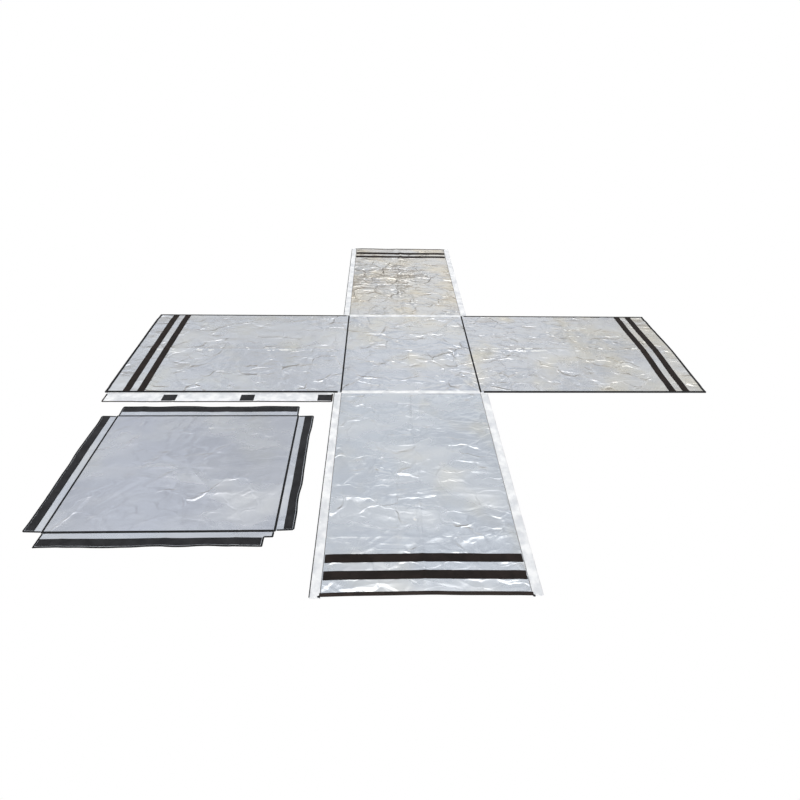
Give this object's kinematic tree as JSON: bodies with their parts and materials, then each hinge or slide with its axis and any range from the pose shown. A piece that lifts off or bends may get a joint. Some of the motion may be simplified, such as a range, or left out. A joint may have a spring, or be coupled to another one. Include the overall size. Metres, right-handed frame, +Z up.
{
  "type": "insulated pallet cover",
  "caption": "Foil-faced insulated pallet cover: flat base with four fold-up walls, hook-and-loop strips, corner flaps and a loose lid with drop-down skirts.",
  "frame": {"origin": "on the floor under the middle of the base, which is also the bottom centre of the whole open cover", "axes": "+X to the right, +Y to the back along the open cover's longest direction, +Z up; the inside of the cover faces up"},
  "size_m": [4.302, 4.502, 0.0081],
  "materials": {
    "foil": "silver metallised woven film, softly crinkled",
    "warm_foil": "silver metallised woven film, warmer grey",
    "lid_foil": "silver metallised woven film, blue grey",
    "outer_foil": "silver metallised woven film, plain side",
    "foam": "white closed-cell polyethylene foam",
    "light_weave": "off-white coated woven fabric, satin",
    "loop_tape": "dark brown-black loop pile",
    "hook_tape": "charcoal hook tape",
    "binding": "black woven binding tape",
    "brown_binding": "brown-black woven binding tape"
  },
  "bodies": {
    "base": {"base_inner_film": "foil", "base_foam_core": "foam", "base_outer_film": "outer_foil", "base_seam_front": "light_weave", "base_seam_back": "light_weave", "base_seam_left": "binding", "base_seam_right": "binding"},
    "front_wall": {"front_wall_inner_film": "foil", "front_wall_foam_core": "foam", "front_wall_outer_film": "outer_foil", "front_wall_loop_tape_upper": "loop_tape", "front_wall_loop_tape_lower": "loop_tape", "front_wall_binding": "brown_binding", "front_wall_closure_patches": "loop_tape"},
    "back_wall": {"back_wall_inner_film": "warm_foil", "back_wall_foam_core": "foam", "back_wall_outer_film": "outer_foil", "back_wall_loop_tape_upper": "loop_tape", "back_wall_loop_tape_lower": "loop_tape", "back_wall_binding": "brown_binding"},
    "left_wall": {"left_wall_inner_film": "foil", "left_wall_foam_core": "foam", "left_wall_outer_film": "outer_foil", "left_wall_loop_tape_upper": "loop_tape", "left_wall_loop_tape_lower": "loop_tape", "left_wall_binding": "binding", "left_closing_flap_root": "light_weave"},
    "right_wall": {"right_wall_inner_film": "foil", "right_wall_foam_core": "foam", "right_wall_outer_film": "outer_foil", "right_wall_loop_tape_upper": "loop_tape", "right_wall_loop_tape_lower": "loop_tape", "right_wall_binding": "binding"},
    "front_left_flap": {"front_left_flap": "light_weave", "front_left_flap_binding": "binding"},
    "front_right_flap": {"front_right_flap": "light_weave"},
    "back_left_flap": {"back_left_flap": "light_weave", "back_left_flap_binding": "binding"},
    "back_right_flap": {"back_right_flap": "light_weave"},
    "left_closing_flap": {"left_closing_flap": "light_weave", "left_closing_flap_binding": "brown_binding", "left_closing_flap_patches": "hook_tape"},
    "lid": {"lid_outer_film": "lid_foil", "lid_foam_core": "foam", "lid_inner_film": "outer_foil", "lid_seam_binding": "binding"},
    "lid_front_skirt": {"lid_front_skirt": "lid_foil", "lid_front_hook_tape": "hook_tape", "lid_front_skirt_binding": "binding"},
    "lid_back_skirt": {"lid_back_skirt": "lid_foil", "lid_back_hook_tape": "hook_tape", "lid_back_skirt_binding": "binding"},
    "lid_left_skirt": {"lid_left_skirt": "lid_foil", "lid_left_hook_tape": "hook_tape", "lid_left_skirt_binding": "binding"},
    "lid_right_skirt": {"lid_right_skirt": "lid_foil", "lid_right_hook_tape": "hook_tape", "lid_right_skirt_binding": "binding"}
  },
  "joints": [
    {"name": "front_wall_fold", "type": "hinge", "parent": "base", "child": "front_wall", "pos_m": [0, -0.6, 0.0056], "axis": [-1, 0, 0], "range_deg": [0, 90]},
    {"name": "back_wall_fold", "type": "hinge", "parent": "base", "child": "back_wall", "pos_m": [0, 0.6, 0.0056], "axis": [1, 0, 0], "range_deg": [0, 90]},
    {"name": "left_wall_fold", "type": "hinge", "parent": "base", "child": "left_wall", "pos_m": [-0.5, 0, 0.0056], "axis": [0, 1, 0], "range_deg": [0, 90]},
    {"name": "right_wall_fold", "type": "hinge", "parent": "base", "child": "right_wall", "pos_m": [0.5, 0, 0.0056], "axis": [0, -1, 0], "range_deg": [0, 90]},
    {"name": "front_left_flap_fold", "type": "hinge", "parent": "front_wall", "child": "front_left_flap", "pos_m": [-0.496, -1.425, 0.0038], "axis": [0, 1, 0], "range_deg": [0, 90]},
    {"name": "front_right_flap_fold", "type": "hinge", "parent": "front_wall", "child": "front_right_flap", "pos_m": [0.496, -1.425, 0.0038], "axis": [0, -1, 0], "range_deg": [0, 90]},
    {"name": "back_left_flap_fold", "type": "hinge", "parent": "back_wall", "child": "back_left_flap", "pos_m": [-0.496, 1.425, 0.0038], "axis": [0, 1, 0], "range_deg": [0, 90]},
    {"name": "back_right_flap_fold", "type": "hinge", "parent": "back_wall", "child": "back_right_flap", "pos_m": [0.496, 1.425, 0.0038], "axis": [0, -1, 0], "range_deg": [0, 90]},
    {"name": "left_closing_flap_fold", "type": "hinge", "parent": "left_wall", "child": "left_closing_flap", "pos_m": [-1.336, -0.609, 0.0038], "axis": [-1, 0, 0], "range_deg": [0, 90]},
    {"name": "lid_lift", "type": "slide", "parent": "base", "child": "lid", "axis": [0, 0, 1], "range_m": [0, 1.57]},
    {"name": "lid_front_skirt_droop", "type": "hinge", "parent": "lid", "child": "lid_front_skirt", "pos_m": [-1.3535, -1.853, 0.0038], "axis": [1, 0, 0], "range_deg": [0, 90]},
    {"name": "lid_back_skirt_droop", "type": "hinge", "parent": "lid", "child": "lid_back_skirt", "pos_m": [-1.3535, -0.864, 0.0038], "axis": [-1, 0, 0], "range_deg": [0, 90]},
    {"name": "lid_left_skirt_droop", "type": "hinge", "parent": "lid", "child": "lid_left_skirt", "pos_m": [-1.948, -1.3585, 0.0038], "axis": [0, -1, 0], "range_deg": [0, 90]},
    {"name": "lid_right_skirt_droop", "type": "hinge", "parent": "lid", "child": "lid_right_skirt", "pos_m": [-0.759, -1.3585, 0.0038], "axis": [0, 1, 0], "range_deg": [0, 90]}
  ],
  "couplings": [
    {"joint": "lid_front_skirt_droop", "follows": "lid_lift", "rad_per_m": 1},
    {"joint": "lid_back_skirt_droop", "follows": "lid_lift", "rad_per_m": 1},
    {"joint": "lid_left_skirt_droop", "follows": "lid_lift", "rad_per_m": 1},
    {"joint": "lid_right_skirt_droop", "follows": "lid_lift", "rad_per_m": 1}
  ]
}
